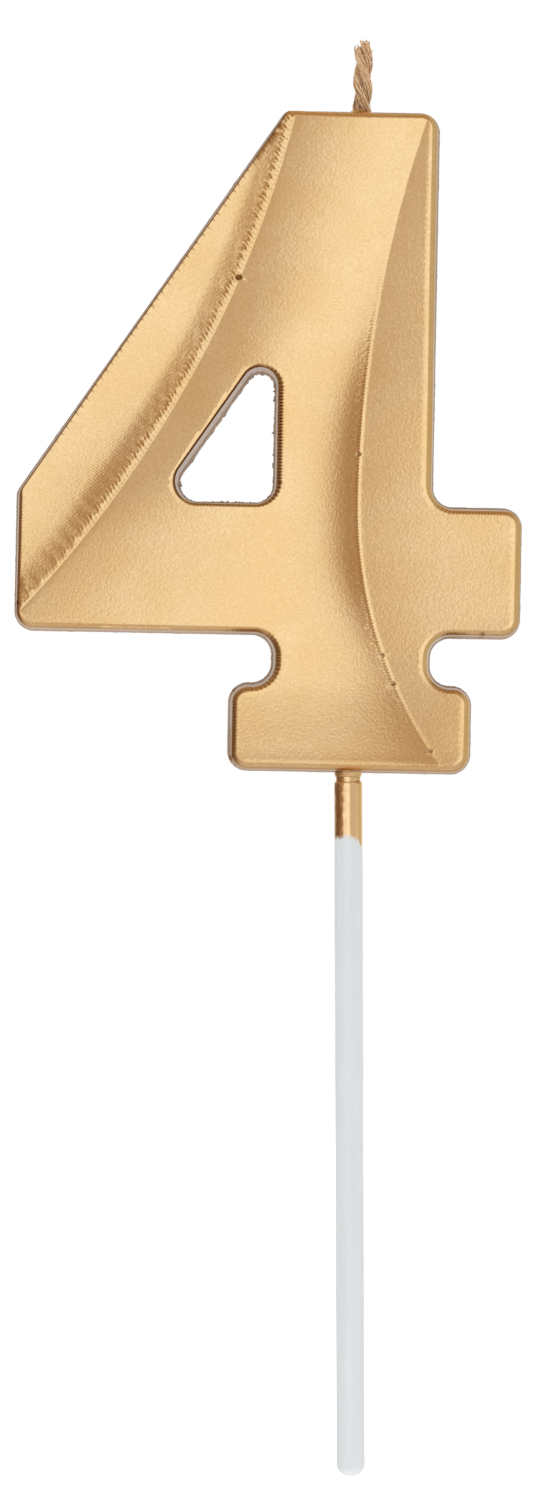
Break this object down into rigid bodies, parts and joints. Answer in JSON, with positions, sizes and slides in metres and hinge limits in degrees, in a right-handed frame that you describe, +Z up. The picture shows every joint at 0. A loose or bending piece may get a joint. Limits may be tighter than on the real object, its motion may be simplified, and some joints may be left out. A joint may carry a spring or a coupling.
{
  "type": "number birthday candle",
  "caption": "Number birthday candle: gold wax figure four with two ridged, fluted faces and a triangular window, on a round plastic cake pick, with a twisted wick.",
  "frame": {"origin": "on the pick's axis at the underside of the wax, where the candle meets the cake's surface", "axes": "+Z up the figure towards the wick, +X to the right of a reader of the front face, -Y out of the front face"},
  "size_m": [0.0536, 0.012, 0.1526],
  "materials": {
    "gold_wax": "satin metallic gold paint over cast wax, with fine tool marks from the mould",
    "wick_cotton": "twisted cotton cord, waxed and oversprayed with gold",
    "white_plastic": "translucent white moulded plastic, gold overspray on its top 7 mm"
  },
  "bodies": {
    "root": {"number_body": "gold_wax", "wick_ply_1": "wick_cotton", "wick_ply_2": "wick_cotton", "wick_ply_3": "wick_cotton", "pick": "white_plastic"}
  },
  "joints": []
}
